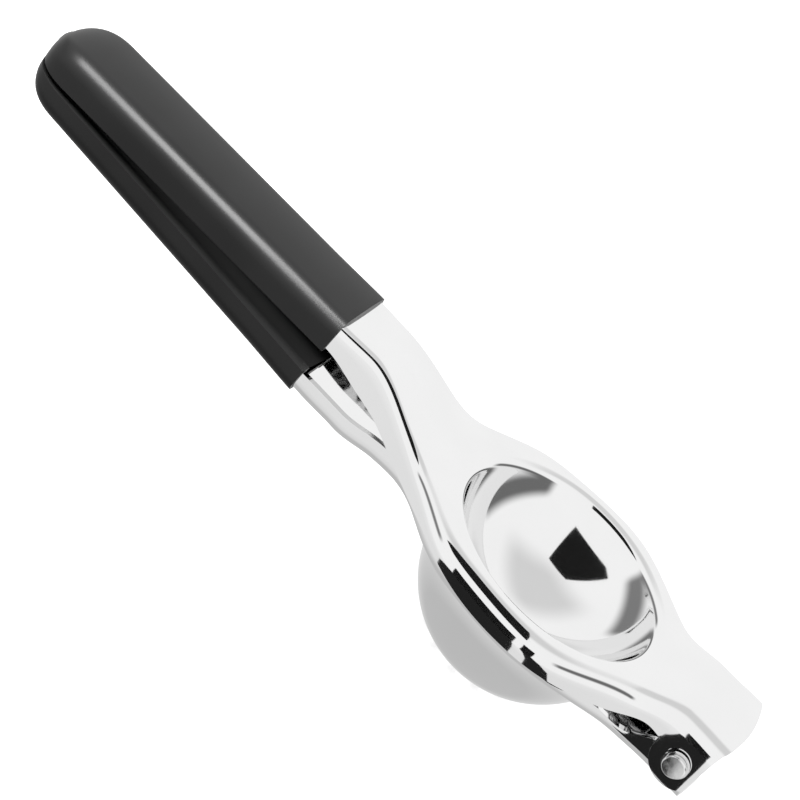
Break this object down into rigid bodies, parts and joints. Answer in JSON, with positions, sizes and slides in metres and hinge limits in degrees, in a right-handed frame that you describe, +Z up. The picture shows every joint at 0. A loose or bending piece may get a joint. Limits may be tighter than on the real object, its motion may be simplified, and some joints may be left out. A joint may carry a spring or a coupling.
{
  "type": "hinged lemon squeezer",
  "caption": "Hinged hand press of pressed steel: press cup over a strainer bowl, riveted at one end, with black handle sleeves.",
  "frame": {"origin": "centre of the flat under the strainer bowl, with the arms closed", "axes": "+X from the handles to the hinge, +Z up through the press cup, Y across the arms"},
  "size_m": [0.2101, 0.0654, 0.0415],
  "materials": {
    "polished_steel": "mirror-polished stainless steel",
    "rivet_steel": "turned and polished stainless steel",
    "black_sleeve": "glossy black moulded sleeve"
  },
  "bodies": {
    "lower_half": {"lower_arm": "polished_steel", "lower_grip": "black_sleeve", "hinge_pin": "rivet_steel", "hinge_washers": "rivet_steel"},
    "upper_half": {"upper_arm": "polished_steel", "upper_grip": "black_sleeve"}
  },
  "joints": [
    {"name": "arm_hinge", "type": "hinge", "parent": "lower_half", "child": "upper_half", "pos_m": [0.0464, 0, 0.0255], "axis": [0, 1, 0], "range_deg": [0, 90]}
  ]
}
